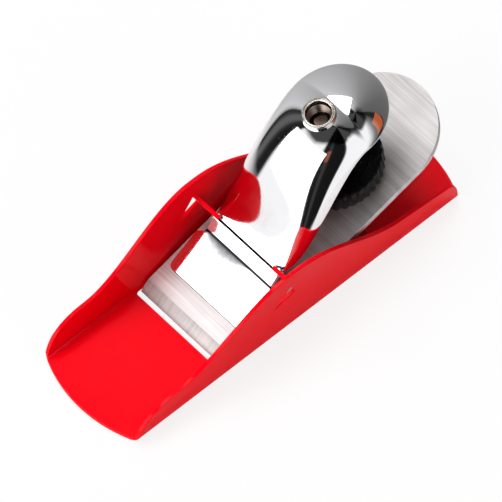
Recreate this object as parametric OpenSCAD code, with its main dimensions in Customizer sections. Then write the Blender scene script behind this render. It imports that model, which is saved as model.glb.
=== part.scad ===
// Pocket block plane: a pressed steel body with lanced wall tabs, a folded bed,
// a bevel-up iron and a hooded lever cap that a thumb wheel tightens.
// X runs from toe to heel, Z is up and the sole's underside lies at z = 0.

/* [Sole and walls] */
// Length of the sole between its corners
sole_l = 83.1; // [80:0.1:100]
// Width over the walls, measured at the sole
sole_w = 26.7; // [25:0.1:34]
// How far the toe and the heel bulge past the corners
end_bulge = 3.05; // [1:0.05:6]
// Thickness of the body's steel sheet
sheet_t = 0.9; // [0.7:0.05:1.3]
// Inside radius of the bends between sole and walls
bend_r = 0.8; // [0.4:0.1:1.5]
// Outward lean of each wall, in degrees
wall_flare = 4; // [0:0.5:7]
// Height of the walls behind the toe
toe_wall_h = 7.4; // [5:0.1:10]
// Length of the curve that ends each wall at the toe
toe_curve_l = 8; // [4:0.5:10]
// Height of the walls at their peak
peak_h = 19.8; // [18:0.1:24]
// Distance from the toe corners to the start of the walls' rise
rise_x = 11; // [10:0.5:16]
// Distance from the toe corners to the middle of the walls' peak
peak_x = 39.2; // [37:0.1:42]
// Distance from the toe corners to the end of the walls' fall
fall_x = 67; // [60:0.5:75]
// Height of the walls in front of the heel
heel_wall_h = 6.9; // [5:0.1:10]
// Length of the curve that ends each wall at the heel
heel_curve_l = 3; // [1:0.5:6]

/* [Mouth] */
// Distance from the toe corners to the front of the mouth
mouth_x = 22.1; // [18:0.1:26]
// Gap between the front of the mouth and the cutting edge
mouth_gap = 1.3; // [1:0.05:3]
// Clearance between each end of the mouth and the iron
mouth_end_gap = 0.15; // [0.1:0.05:0.3]
// Corner radius of the mouth
mouth_corner_r = 0.9; // [0.2:0.1:1.2]

/* [Iron] */
// Angle between the iron and the sole, in degrees
blade_angle = 17.8; // [16:0.1:20]
// Thickness of the iron
blade_t = 1.5; // [1:0.1:2.2]
// Length of the iron from its cutting edge to its round end
blade_l = 65.8; // [58:0.1:72]
// Angle of the ground bevel, in degrees
bevel_angle = 30; // [22:1:40]
// Clearance between each side of the iron and the wall
blade_side_gap = 0.35; // [0.25:0.05:0.6]

/* [Bed] */
// Thickness of the bed's sheet
bed_t = 1.2; // [0.8:0.1:1.6]
// Inside radius of the bed's bends
bed_bend_r = 1.0; // [0.5:0.1:2]
// Distance along the iron from the cutting edge to the bed's rear leg
bed_l = 34; // [28:0.5:40]
// Length of the foot that is riveted to the sole
bed_foot_l = 8; // [7:0.5:12]
// How far the bed lies inside each side of the iron
bed_inset = 1.6; // [0.8:0.1:3]
// Gap that lets the iron slide on the bed
slide_gap = 0.05; // [0.03:0.01:0.1]
// Shank diameter of the bed's rivets
rivet_d = 2.4; // [1.8:0.1:3]
// Head diameter of the bed's rivets
rivet_head_d = 4.2; // [3.6:0.1:5]
// Distance between the two rivets
rivet_spacing = 12; // [9:0.5:15]

/* [Lever cap] */
// Thickness of the cap's sheet
cap_t = 1.0; // [0.7:0.05:1.3]
// Distance along the iron from the cutting edge to the cap's front
cap_front = 6.9; // [4:0.1:9]
// Distance along the iron from the cutting edge to the bend before the ridge
cap_bend = 16.9; // [15:0.1:17.5]
// Height of that bend above the iron
bend_h = 3.7; // [3.2:0.1:4.2]
// Distance along the iron from the cutting edge to the ridge's groove
ridge_s = 19.8; // [19:0.1:21]
// Height of the ridge above the iron
ridge_h = 5.5; // [5:0.1:6]
// How far the front plate lies inside each side of the iron
cap_inset = 1.5; // [0.5:0.1:3]
// How much narrower each end of the ridge is than the front plate
ridge_step = 1.5; // [0.5:0.1:2.5]
// Gap between the front plate's front edge and the iron
cap_gap = 0.1; // [0.05:0.05:0.3]
// Width of the hood at its crown
hood_w = 20.6; // [18:0.1:23]
// Distance along the iron from the cutting edge to the hood's crown
hood_s = 49.1; // [47:0.1:52]
// Height of the hood's crown above the iron
hood_h = 22.9; // [21:0.1:26]
// Depth of the hood's sides at its crown
hood_side = 4.5; // [3.5:0.1:7]
// Length of the hood from its crown to its rear rim
hood_rear = 11.1; // [9:0.1:14]

/* [Screw] */
// Distance along the iron from the cutting edge to the screw's foot
screw_s = 42.5; // [41:0.1:44]
// Lean of the screw towards the heel, from square to the iron, in degrees
screw_lean = 7.3; // [4:0.1:10]
// Diameter of the screw
screw_d = 4.2; // [3:0.1:5]
// Radial clearance of the screw in the bush and in the wheel
screw_fit = 0.05; // [0.02:0.01:0.08]
// Depth of the screw's end below the rim of the bush
screw_depth = 3; // [1:0.1:5]
// Outside diameter of the bush
bush_d = 6.8; // [6:0.1:8]
// Diameter of the bush's shoulder below the hood
bush_shoulder_d = 8.8; // [8.4:0.1:10]
// How far the bush stands out of the hood
bush_rim = 0.8; // [0.4:0.1:1.5]
// Length of the bush below the hood's outer face
bush_l = 6; // [4.5:0.1:7]

/* [Thumb wheel] */
// Diameter of the wheel
wheel_d = 19.9; // [16:0.1:20.5]
// Thickness of the wheel
wheel_t = 4.8; // [4:0.1:6]
// Number of grip grooves around the wheel
wheel_grooves = 36; // [24:1:40]
// Depth of each grip groove
groove_depth = 0.35; // [0.2:0.05:0.5]
// Diameter of the collar that the wheel sits on
collar_d = 8.4; // [7:0.1:9]
// Thickness of that collar
collar_t = 1.1; // [0.8:0.1:1.5]
// Height of the screw's foot below the collar
foot_h = 1.2; // [1.1:0.1:1.5]

/* [Wall tabs] */
// Width of each tab where it leaves the wall
tab_root = 2.95; // [2:0.05:3.5]
// Length of the triangular hole that each tab is cut from
tab_hole_l = 5.6; // [4:0.1:7]
// Lean of the tabs towards the toe, in degrees from upright
tab_lean = 24; // [15:1:30]
// How far the root of each tab reaches below its tip, along the tab
tab_dip = 0.3; // [0:0.1:0.5]
// How far each tab's tip reaches over the ridge
tab_grip = 1.5; // [1:0.1:3]
// Gap between the tab's tip and the ridge
tab_gap = 0.25; // [0.2:0.05:0.4]
// How far each tab's tip lies in front of the ridge's groove
tab_lead = 0.4; // [0.3:0.1:1]

/* [Hidden] */
$fn = 96;
eps = 0.01;
far = 200;
bend_steps = 8;
outline_steps = 14;

// Places along X are measured from the toe corners until they are drawn.
toe_corner = -sole_l / 2;
half_w = sole_w / 2;
wall_run = sheet_t / cos(wall_flare);
inner_w = sole_w - 2 * wall_run + 2 * sheet_t * tan(wall_flare);
end_r = (pow(half_w, 2) + pow(end_bulge, 2)) / (2 * end_bulge);
peak_flat = 0.8;
fall_start = peak_x + peak_flat;
toe_slope = 0.06;
heel_slope = 0.12;

// The iron lies on a plane that meets the sole's underside at the cutting edge.
edge_x = mouth_x + mouth_gap;
blade_w = inner_w - 2 * blade_side_gap;
blade_end_r = blade_w / 2;
bevel_l = blade_t / tan(bevel_angle);
mouth_w = blade_w + 2 * mouth_end_gap;
mouth_rear_x = edge_x + (sheet_t + 0.75 * bend_r) / tan(blade_angle);

// The bed is folded from one strip.
bed_w = blade_w - 2 * bed_inset;
bed_front_x = mouth_rear_x + 0.3;
bed_leg_x = edge_x + bed_l * cos(blade_angle);
bed_out_r = bed_bend_r + bed_t;
bed_knee_x = bed_leg_x - bed_out_r;
bed_knee_z = ((bed_knee_x - edge_x) * sin(blade_angle) - slide_gap - bed_out_r) / cos(blade_angle);
rivet_x = bed_leg_x + 0.6 * bed_foot_l;
rivet_head_h = 0.9;
rivet_fit = 0.02;

// Lever cap, in the iron's own axes: s along it from the cutting edge, h above its top face.
plate_half = blade_w / 2 - cap_inset;
ridge_half = plate_half - ridge_step;
hood_half = hood_w / 2;
lip_rise = 0.2;
lip_s = ridge_s + 0.55;
lip_h = ridge_h + lip_rise;
ridge_v = 0.25;
plate_edge = 0.3;
plate_corner_r = 1.2;
neck_in = 1.6;
level = [cos(blade_angle), -sin(blade_angle)];
upright = [sin(blade_angle), cos(blade_angle)];
crown = [hood_s, hood_h];
lip = [lip_s, lip_h];
spine_rise = [7.2, 4.8];
spine_lead = 15.2;
spine = [lip, lip + spine_rise, crown - spine_lead * level, crown];
rear_lift = 2.05;
rim_fall = [3.65, -5];
rim_lead = 7.1;
rim_side = crown - hood_side * upright;
rim_rear = rim_side + hood_rear * level + rear_lift * upright;
rim = [lip, lip + rim_fall, rim_side - rim_lead / hood_rear * (rim_rear - rim_side), rim_side];
neck_swell = 1.2;
hood_waist = 0.55;
flank = [ridge_half, hood_half + neck_swell, hood_half - hood_waist, hood_half];
spine_n = 22;
arc_n = 10;
rear_n = 20;

// Clamp screw: its axis starts on the iron's top face.
screw_r = screw_d / 2;
bore_r = screw_r + screw_fit;
axis_dir = [sin(screw_lean), cos(screw_lean)];
axis_side = [cos(screw_lean), -sin(screw_lean)];
hood_t = crossing(0.5, 1, 24);
hood_at_axis = (bezier(spine, hood_t) - [screw_s, 0]) * axis_dir;
bush_top = hood_at_axis + bush_rim;
bush_bottom = hood_at_axis - bush_l;
screw_top = bush_top - screw_depth;
foot_gap = 0.15;
collar_z = foot_gap + foot_h;
wheel_z = collar_z + collar_t + slide_gap;

// Wall tabs: the tip lies over the ridge.
tab_tip_y = ridge_half - tab_grip;
tab_foot = bed_point(ridge_s - tab_lead, blade_t + lip_h) + [0, tab_gap];
tab_dir = [-sin(tab_lean), cos(tab_lean)];
tab_front = [-cos(tab_lean), -sin(tab_lean)];
tab_tip = 0.5;

function smooth(t) = let(c = min(max(t, 0), 1)) c * c * (3 - 2 * c);
function bezier(p, t) = len(p) == 1 ? p[0]
    : (1 - t) * bezier([for (i = [0:len(p) - 2]) p[i]], t)
      + t * bezier([for (i = [1:len(p) - 1]) p[i]], t);
function arc(c, r, a, b) = [for (i = [0:bend_steps]) let(t = a + (b - a) * i / bend_steps)
    c + r * [cos(t), sin(t)]];

// A point of the iron's own axes in the plane's X and Z, measured from the toe corners.
function bed_point(s, h) = [edge_x + s * cos(blade_angle) - h * sin(blade_angle),
                            s * sin(blade_angle) + h * cos(blade_angle)];

// Height of the walls at a distance x from the toe corners.
function toe_base(x) = toe_wall_h + toe_slope * (x - toe_curve_l);
function heel_base(x) = heel_wall_h + heel_slope * (sole_l - heel_curve_l - x);
function wall_h(x) = x < peak_x
    ? toe_base(x) + (peak_h - toe_base(x)) * smooth((x - rise_x) / (peak_x - peak_flat - rise_x))
    : peak_h - (peak_h - heel_base(x)) * smooth((x - fall_start) / (fall_x - fall_start));

// Where the spine of the hood crosses the screw's axis.
function off_axis(t) = (bezier(spine, t) - [screw_s, 0]) * axis_side;
function crossing(a, b, n) = n == 0 ? (a + b) / 2
    : off_axis((a + b) / 2) > 0 ? crossing(a, (a + b) / 2, n - 1) : crossing((a + b) / 2, b, n - 1);

// Points of the hood's outer skin. t runs up its spine, v from the spine to the rim.
function hood_side_point(t, v) = let(a = bezier(spine, t), b = bezier(rim, t), k = cos(v))
    [b[0] + (a[0] - b[0]) * k, bezier(flank, t) * sin(v), b[1] + (a[1] - b[1]) * k];
function hood_rear_point(f, v) =
    let(b = rim_side + (rim_rear - rim_side) * cos(f), k = cos(v), c = crown - rim_side)
    [rim_side[0] + (b[0] - rim_side[0]) * sin(v) + c[0] * k,
     hood_half * sin(f) * sin(v),
     b[1] + (crown[1] - b[1]) * k];
function unit(v) = v / norm(v);
function side_normal(t, v) =
    let(u = min(max(t, 0.03), 0.985), w = sign(v) * min(abs(v), 88), d = 0.01, e = 0.5)
    unit(cross(hood_side_point(u + d, w) - hood_side_point(u - d, w),
               hood_side_point(u, w + e) - hood_side_point(u, w - e)));
function rear_normal(f, v) = let(w = min(max(v, 2), 88), d = 0.5)
    unit(cross(hood_rear_point(f - d, w) - hood_rear_point(f + d, w),
               hood_rear_point(f, w + d) - hood_rear_point(f, w - d)));
function spread(j) = 90 * j / arc_n;

module beside_toe() translate([toe_corner, 0, 0]) children();

// Draws a side view, given in X and Z from the toe corners, as wide as w.
module side_view(w) beside_toe() rotate([90, 0, 0]) linear_extrude(w, center = true) children();

// Puts children drawn in the iron's own axes on the bed, with z = 0 on the iron's top face.
module on_iron() beside_toe() translate([edge_x, 0, 0]) rotate([0, -blade_angle, 0])
    translate([0, 0, blade_t]) children();

// Puts children on the screw's axis, with z = 0 on the iron's top face.
module on_screw() on_iron() translate([screw_s, 0, 0]) rotate([0, screw_lean, 0]) children();

module channel_section() {
    r = bend_r + sheet_t;
    lean = wall_flare;
    c = [half_w - r * tan((90 - lean) / 2), r];
    up = peak_h + 5;
    top = [sin(lean), cos(lean)] * up;
    outer = concat(arc(c, r, -90, -lean), [c + r * [cos(lean), -sin(lean)] + top]);
    inner = concat(arc(c, bend_r, -90, -lean), [c + bend_r * [cos(lean), -sin(lean)] + top]);
    half = concat(outer, [for (i = [len(inner) - 1:-1:0]) inner[i]]);
    mirrored = [for (i = [len(half) - 1:-1:0]) [-half[i][0], half[i][1]]];
    polygon(concat(half, mirrored));
}

module plan_outline() {
    square([sole_l, 2 * sole_w], center = true);
    for (side = [-1, 1]) intersection() {
        translate([side * (sole_l / 2 + end_bulge - end_r), 0]) circle(end_r, $fn = 240);
        translate([side * sole_l / 2, 0]) square([2 * end_bulge + eps, sole_w], center = true);
    }
}

module wall_outline() {
    n = outline_steps;
    toe = [[0, sheet_t], [0.15 * toe_curve_l, 0.85 * toe_wall_h], [toe_curve_l, toe_wall_h]];
    heel_x = sole_l - heel_curve_l;
    heel = [[heel_x, wall_h(heel_x)], [sole_l - 0.2 * heel_curve_l, heel_wall_h], [sole_l, sheet_t]];
    run = heel_x - toe_curve_l;
    polygon(concat(
        [[-far, -1], [-far, sheet_t]],
        [for (i = [0:n]) bezier(toe, i / n)],
        [for (i = [1:3 * n - 1]) let(x = toe_curve_l + run * i / (3 * n)) [x, wall_h(x)]],
        [for (i = [0:n]) bezier(heel, i / n)],
        [[far, sheet_t], [far, -1]]));
}

module mouth_slot() {
    l = mouth_rear_x - mouth_x;
    beside_toe() translate([mouth_x, 0, -1]) linear_extrude(sheet_t + bend_r + 1.2) union() {
        translate([0, -mouth_w / 2 + mouth_corner_r]) square([l, mouth_w - 2 * mouth_corner_r]);
        translate([mouth_corner_r, -mouth_w / 2]) square([l - 2 * mouth_corner_r, mouth_w]);
        for (x = [mouth_corner_r, l - mouth_corner_r], y = [-1, 1])
            translate([x, y * (mouth_w / 2 - mouth_corner_r)]) circle(mouth_corner_r);
    }
}

module tab_holes() side_view(far)
    polygon([tab_foot + tab_dir * (tab_root - tab_dip), tab_foot - tab_dir * tab_dip,
             tab_foot + tab_dir * tab_tip / 2 + tab_front * tab_hole_l]);

// One tab, as a flat triangle with its tip over the ridge.
module tab(side) {
    root_y = half_w - wall_run / 2 + (tab_foot[1] - tab_dip) * tan(wall_flare);
    top_y = root_y + tab_root * tan(wall_flare);
    beside_toe() translate([tab_foot[0], 0, tab_foot[1]]) rotate([0, -tab_lean, 0])
        rotate([90, 0, 90]) linear_extrude(sheet_t)
            polygon([[side * tab_tip_y, 0], [side * root_y, -tab_dip],
                     [side * top_y, tab_root - tab_dip], [side * tab_tip_y, tab_tip]]);
}

module body_shell() color("red") union() {
    difference() {
        intersection() {
            rotate([90, 0, 90]) linear_extrude(far, center = true) channel_section();
            translate([0, 0, -1]) linear_extrude(peak_h + 2) plan_outline();
            side_view(far) wall_outline();
        }
        mouth_slot();
        tab_holes();
        at_rivets() {
            translate([0, 0, -1]) cylinder(r = rivet_d / 2 + rivet_fit, h = sheet_t + 2);
            translate([0, 0, -eps]) cylinder(r1 = rivet_head_d / 2 + rivet_fit,
                                             r2 = rivet_d / 2 + rivet_fit, h = sheet_t * 0.8);
        }
    }
    for (side = [-1, 1]) tab(side);
}

module at_rivets() beside_toe() for (y = [-1, 1])
    translate([rivet_x, y * rivet_spacing / 2, 0]) children();

module blade_bed() color("dimgray") difference() {
    top_z = (bed_front_x - edge_x) * tan(blade_angle) - slide_gap / cos(blade_angle);
    under_x = edge_x + (sheet_t + (slide_gap + bed_t) / cos(blade_angle)) / tan(blade_angle);
    knee = [bed_knee_x, bed_knee_z];
    ankle = [bed_leg_x + bed_bend_r, sheet_t + bed_out_r];
    toe = bed_leg_x + bed_foot_l;
    side_view(bed_w) polygon(concat(
        [[bed_front_x, sheet_t], [bed_front_x, top_z]],
        arc(knee, bed_out_r, 90 + blade_angle, 0),
        arc(ankle, bed_bend_r, 180, 270),
        [[toe, sheet_t + bed_t], [toe, sheet_t]],
        arc(ankle, bed_out_r, 270, 180),
        arc(knee, bed_bend_r, 0, 90 + blade_angle),
        [[max(under_x, bed_front_x + eps), sheet_t]]));
    at_rivets() cylinder(r = rivet_d / 2 + rivet_fit, h = sheet_t + bed_t + 1);
}

module bed_rivets() color("silver") at_rivets() {
    top = sheet_t + bed_t;
    rotate_extrude() polygon(concat(
        [[0, 0], [rivet_head_d / 2, 0], [rivet_d / 2, sheet_t * 0.8], [rivet_d / 2, top],
         [rivet_head_d / 2, top]],
        [for (a = [0:15:90])
            [rivet_head_d / 2 * cos(a), top + 0.2 + (rivet_head_h - 0.2) * sin(a)]]));
}

module blade() color("gainsboro") on_iron() difference() {
    translate([0, 0, -blade_t]) linear_extrude(blade_t) union() {
        translate([0, -blade_w / 2]) square([blade_l - blade_end_r, blade_w]);
        translate([blade_l - blade_end_r, 0]) circle(blade_end_r, $fn = 120);
    }
    rotate([90, 0, 0]) linear_extrude(far, center = true)
        polygon([[0, -blade_t], [-far, -blade_t], [-far, 1], [bevel_l + 1 / tan(bevel_angle), 1]]);
}

// The front plate and the ridge of the lever cap, row by row from its front edge:
// the row's outer point, its inner point and its half width.
function plate_rows() =
    let(tilt = atan2(bend_h - cap_gap - cap_t, cap_bend - cap_front),
        slope = atan2(ridge_h - bend_h, ridge_s - cap_bend),
        turn = (slope - tilt) / 2,
        bend_in = cap_t / cos(turn) * [sin(tilt + turn), -cos(tilt + turn)],
        under = cap_t * [sin(slope), -cos(slope)],
        start_half = plate_half - plate_corner_r)
    concat(
        [[plate_point(cap_front) - [0, plate_edge], [cap_front, cap_gap], start_half]],
        [for (a = [15:15:90])
            let(p = cap_front + plate_corner_r * (1 - cos(a)))
            [plate_point(p), plate_point(p) - [0, cap_t], start_half + plate_corner_r * sin(a)]],
        [for (i = [0:5])
            let(p = cap_bend - neck_in * (1 - i / 6))
            [plate_point(p), plate_point(p) - [0, cap_t], plate_half - ridge_step * smooth(i / 6)]],
        [[[cap_bend, bend_h], [cap_bend, bend_h] + bend_in, ridge_half]],
        [for (i = [0:2])
            let(p = strip_point(slope, (0.45 + 0.25 * i) * (ridge_s - cap_bend)))
            [p, p + under, ridge_half]],
        [[[ridge_s, ridge_h - ridge_v], [ridge_s, ridge_h] + under, ridge_half],
         [[ridge_s + ridge_v, ridge_h + 0.1], [ridge_s + ridge_v, ridge_h + 0.1] + under, ridge_half]]);
function plate_point(s) = [s, cap_gap + cap_t
    + (bend_h - cap_gap - cap_t) * (s - cap_front) / (cap_bend - cap_front)];
function strip_point(slope, run) = [cap_bend + run, bend_h + run * tan(slope)];

// The lever cap's sheet: an outer skin and an inner skin one sheet thickness below it.
module cap_sheet() {
    row = 2 * arc_n + 1;
    plate = plate_rows();
    side_at = [for (i = [0:spine_n], j = [-arc_n:arc_n]) [i / spine_n, spread(j)]];
    rear_at = [for (f = [1:rear_n - 1], j = [1:arc_n]) [90 - 180 * f / rear_n, spread(j)]];
    plate_outer = [for (p = plate, j = [-arc_n:arc_n]) [p[0][0], p[2] * sin(spread(j)), p[0][1]]];
    plate_inner = [for (p = plate, j = [-arc_n:arc_n]) [p[1][0], p[2] * sin(spread(j)), p[1][1]]];
    hood_outer = concat([for (p = side_at) hood_side_point(p[0], p[1])],
                        [for (p = rear_at) hood_rear_point(p[0], p[1])]);
    normals = concat([for (p = side_at) side_normal(p[0], p[1])],
                     [for (p = rear_at) rear_normal(p[0], p[1])]);
    hood_inner = [for (i = [0:len(normals) - 1]) hood_outer[i] - cap_t * normals[i]];
    rows = len(plate) + spine_n + 1;
    n = len(plate_outer) + len(hood_outer);
    top = (rows - 1) * row + arc_n;
    function rear_id(f, j) = j == 0 ? top : f == 0 ? top + j : f == rear_n ? top - j
        : rows * row + (f - 1) * arc_n + j - 1;
    function quad(a, b, c, d) = [[a, c, b], [a, d, c]];
    skin = concat(
        [for (i = [0:rows - 2], j = [0:row - 2])
            let(a = i * row + j) each quad(a, a + row, a + row + 1, a + 1)],
        [for (f = [0:rear_n - 1], j = [1:arc_n - 1])
            each quad(rear_id(f, j), rear_id(f + 1, j), rear_id(f + 1, j + 1), rear_id(f, j + 1))],
        [for (f = [0:rear_n - 1]) [top, rear_id(f, 1), rear_id(f + 1, 1)]]);
    edge = concat([for (j = [0:row - 1]) j],
                  [for (i = [1:rows - 1]) i * row + row - 1],
                  [for (f = [1:rear_n - 1]) rear_id(f, arc_n)],
                  [for (i = [rows - 1:-1:1]) i * row]);
    m = len(edge);
    polyhedron(concat(plate_outer, hood_outer, plate_inner, hood_inner), concat(
        [for (f = skin) f],
        [for (f = skin) [f[2] + n, f[1] + n, f[0] + n]],
        [for (i = [0:m - 1]) let(a = edge[i], b = edge[(i + 1) % m]) each quad(a, b, b + n, a + n)]));
}

module lever_cap() color("lightsteelblue") difference() {
    on_iron() cap_sheet();
    on_screw() translate([0, 0, bush_bottom]) cylinder(r = bush_d / 2 + rivet_fit, h = bush_l + 5);
}

module cap_bush() color("burlywood") on_screw() difference() {
    r = bush_d / 2;
    shoulder = hood_at_axis - cap_t - 1.1;
    chamfer = 0.5;
    rotate_extrude() polygon([[0, bush_bottom], [bush_shoulder_d / 2, bush_bottom],
        [bush_shoulder_d / 2, shoulder], [r, shoulder], [r, bush_top - 0.3],
        [r - 0.3, bush_top], [0, bush_top]]);
    translate([0, 0, bush_bottom - 1]) cylinder(r = bore_r, h = far);
    translate([0, 0, bush_top - chamfer])
        cylinder(r1 = bore_r, r2 = bore_r + chamfer + eps, h = chamfer + eps);
}

module clamp_screw() color("silver") on_screw() rotate_extrude() {
    foot_r = screw_r * 0.8;
    point_r = foot_r / 2;
    bevel = 0.5;
    polygon([[0, foot_gap], [point_r, foot_gap], [foot_r, foot_gap + bevel],
        [foot_r, collar_z], [collar_d / 2, collar_z], [collar_d / 2, collar_z + collar_t],
        [screw_r, collar_z + collar_t], [screw_r, screw_top - bevel],
        [screw_r - bevel, screw_top], [0, screw_top]]);
}

module thumb_wheel() color("black") on_screw() translate([0, 0, wheel_z]) difference() {
    r = wheel_d / 2;
    edge = 0.6;
    band = 2.2;
    dish_r = r - band;
    dish = 0.8;
    hub_r = screw_r + band;
    rotate_extrude() polygon([[0, 0], [r - edge, 0], [r, edge], [r, wheel_t - edge],
        [r - edge, wheel_t], [dish_r, wheel_t], [dish_r - dish, wheel_t - dish],
        [hub_r, wheel_t - dish], [hub_r, wheel_t], [0, wheel_t]]);
    translate([0, 0, -1]) cylinder(r = bore_r, h = wheel_t + 2);
    for (i = [0:wheel_grooves - 1]) rotate(i * 360 / wheel_grooves)
        translate([r + groove_depth, 0, -1]) cylinder(r = 2 * groove_depth, h = wheel_t + 2, $fn = 24);
}

body_shell();
blade_bed();
bed_rivets();
blade();
lever_cap();
cap_bush();
clamp_screw();
thumb_wheel();
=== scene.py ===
"""A pocket block plane: red pressed body, low-angle iron, plated lever cap and black thumb wheel.

Every piece is built in millimetres in the frame's own axes (X from toe to heel, Z up) and scaled
to metres at the end. Sizes repeat those of the fixed frame, so each piece fits its neighbours.
"""

from __future__ import annotations

import logging
import math
from dataclasses import dataclass, field
from enum import Enum

import bmesh
import bpy
from mathutils import Matrix, Vector

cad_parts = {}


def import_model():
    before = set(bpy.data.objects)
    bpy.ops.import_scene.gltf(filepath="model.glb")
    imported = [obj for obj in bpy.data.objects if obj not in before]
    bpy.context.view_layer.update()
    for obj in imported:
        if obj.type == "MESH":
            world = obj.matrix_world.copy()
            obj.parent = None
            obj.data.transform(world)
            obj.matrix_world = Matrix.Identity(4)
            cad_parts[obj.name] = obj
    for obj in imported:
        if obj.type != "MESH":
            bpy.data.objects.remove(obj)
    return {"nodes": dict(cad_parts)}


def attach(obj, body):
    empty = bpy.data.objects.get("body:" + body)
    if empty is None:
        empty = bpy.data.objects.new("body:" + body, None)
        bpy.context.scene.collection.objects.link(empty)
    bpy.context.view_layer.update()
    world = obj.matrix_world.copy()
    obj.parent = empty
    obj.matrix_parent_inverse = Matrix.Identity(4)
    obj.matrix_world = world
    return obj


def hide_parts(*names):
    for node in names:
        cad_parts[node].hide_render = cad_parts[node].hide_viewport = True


log = logging.getLogger("pocket_plane")

MM = 0.001
RIGHT = math.pi / 2
Colour = tuple[float, float, float]
Point2 = tuple[float, float]
BMesh = bmesh.types.BMesh
Material = bpy.types.Material
Piece = bpy.types.Object
Socket = bpy.types.NodeSocket
Tree = bpy.types.NodeTree


class Side(Enum):
    """The two sides of the plane, as the sign of Y."""

    FAR = 1
    NEAR = -1


class Grain(Enum):
    """The way that a brushed or ground surface's lines run, as how fast the pattern changes."""

    ACROSS = (1.0, 0.02, 1.0)
    ALONG = (0.015, 1.0, 0.015)


# ------------------------------------------------
# Curves and axes


def smooth(value: float) -> float:
    """Eases a share from 0 to 1, flat at both ends."""
    share = min(max(value, 0.0), 1.0)
    return share * share * (3.0 - 2.0 * share)


def bezier(points: list[Vector], share: float) -> Vector:
    """Finds a point on a curve.

    Args:
        points: The curve's control points.
        share: How far along the curve, from 0 to 1.

    Returns:
        The point on the curve.
    """
    level = [p.copy() for p in points]
    while len(level) > 1:
        level = [a.lerp(b, share) for a, b in zip(level, level[1:])]
    return level[0]


def curve(points: list[Vector], steps: int, first: int = 0) -> list[Vector]:
    """Returns the points of a curve at even steps, from the step first to the end."""
    return [bezier(points, i / steps) for i in range(first, steps + 1)]


@dataclass(frozen=True)
class IronAxes:
    """The iron's own axes: s along it from the cutting edge, y across, h above its top face."""

    edge_x: float = -18.15
    angle: float = math.radians(17.8)
    thickness: float = 1.5

    def matrix(self) -> Matrix:
        """Finds how a shape drawn in these axes lies on the bed.

        Returns:
            The matrix from these axes to the frame's.
        """
        place = Matrix.Translation((self.edge_x, 0.0, 0.0))
        turn = Matrix.Rotation(-self.angle, 4, "Y")
        return place @ turn @ Matrix.Translation((0.0, 0.0, self.thickness))


@dataclass(frozen=True)
class ScrewAxis:
    """The clamp screw's axis, with z = 0 on the iron's top face."""

    foot_s: float = 42.5
    lean: float = math.radians(7.3)

    def matrix(self) -> Matrix:
        """Returns the matrix that puts a shape turned about Z on the screw's axis."""
        foot = Matrix.Translation((self.foot_s, 0.0, 0.0))
        return IronAxes().matrix() @ foot @ Matrix.Rotation(self.lean, 4, "Y")

    def placed(self, bm: BMesh) -> BMesh:
        """Moves a mesh turned about Z onto the screw's axis and returns it."""
        bmesh.ops.transform(bm, matrix=self.matrix(), verts=bm.verts)
        return bm


# ------------------------------------------------
# Mesh helpers


def ring_of(bm: BMesh, points: list[Point2], filled: bool = False) -> list:
    """Makes a closed loop in the XY plane.

    Args:
        bm: The mesh that gets the loop.
        points: The loop's corners in order.
        filled: Whether the loop gets a face.

    Returns:
        The loop's vertices.
    """
    made = bmesh.ops.create_circle(bm, cap_ends=filled, radius=1.0, segments=len(points))
    for vert, (x, y) in zip(made["verts"], points):
        vert.co = (x, y, 0.0)
    return made["verts"]


def object_of(bm: BMesh, name: str, materials: list[Material]) -> Piece:
    """Turns a mesh into an object of the scene.

    Args:
        bm: The mesh, which is freed.
        name: The object's name.
        materials: Its materials, in the order of its faces' indices.

    Returns:
        The object.
    """
    mesh = bpy.data.meshes.new(name)
    bm.to_mesh(mesh)
    bm.free()
    for material in materials:
        mesh.materials.append(material)
    made = bpy.data.objects.new(name, mesh)
    bpy.context.scene.collection.objects.link(made)
    return made


def thicken(bm: BMesh, depth: float) -> list:
    """Gives a flat mesh a thickness.

    Args:
        bm: The mesh.
        depth: The thickness, upwards.

    Returns:
        The upper vertices.
    """
    made = bmesh.ops.extrude_face_region(bm, geom=bm.faces[:])
    top = [v for v in made["geom"] if isinstance(v, bmesh.types.BMVert)]
    bmesh.ops.translate(bm, vec=(0, 0, depth), verts=top)
    return top


def turned(profile: list[Point2], steps: int) -> BMesh:
    """Turns a profile of radius and height about Z.

    Args:
        profile: Radius and height of each corner.
        steps: Number of steps in the full turn.

    Returns:
        The turned mesh, with its faces outwards.
    """
    bm = bmesh.new()
    verts = [bm.verts.new((r, 0.0, z)) for r, z in profile]
    edges = [bm.edges.new(pair) for pair in zip(verts, verts[1:])]
    bmesh.ops.spin(bm, geom=verts + edges, cent=(0, 0, 0), axis=(0, 0, 1),
                   angle=2 * math.pi, steps=steps, use_merge=True)
    bmesh.ops.remove_doubles(bm, verts=bm.verts, dist=1e-4)
    bmesh.ops.recalc_face_normals(bm, faces=bm.faces)
    return bm


def rounded(corners: list[tuple[float, float, float]], steps: int) -> list[Point2]:
    """Rounds the corners of a profile.

    Args:
        corners: Radius, height and fillet of each corner.
        steps: Number of steps in each fillet.

    Returns:
        The profile's points.
    """
    out: list[Point2] = []
    last = len(corners) - 1
    for i, (r, z, fillet) in enumerate(corners):
        here = Vector((r, z))
        if fillet <= 0.0 or i in (0, last):
            out.append((r, z))
            continue
        before = (Vector(corners[i - 1][:2]) - here).normalized() * fillet + here
        after = (Vector(corners[i + 1][:2]) - here).normalized() * fillet + here
        out += [(p.x, p.y) for p in curve([before, here, after], steps)]
    return out


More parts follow.
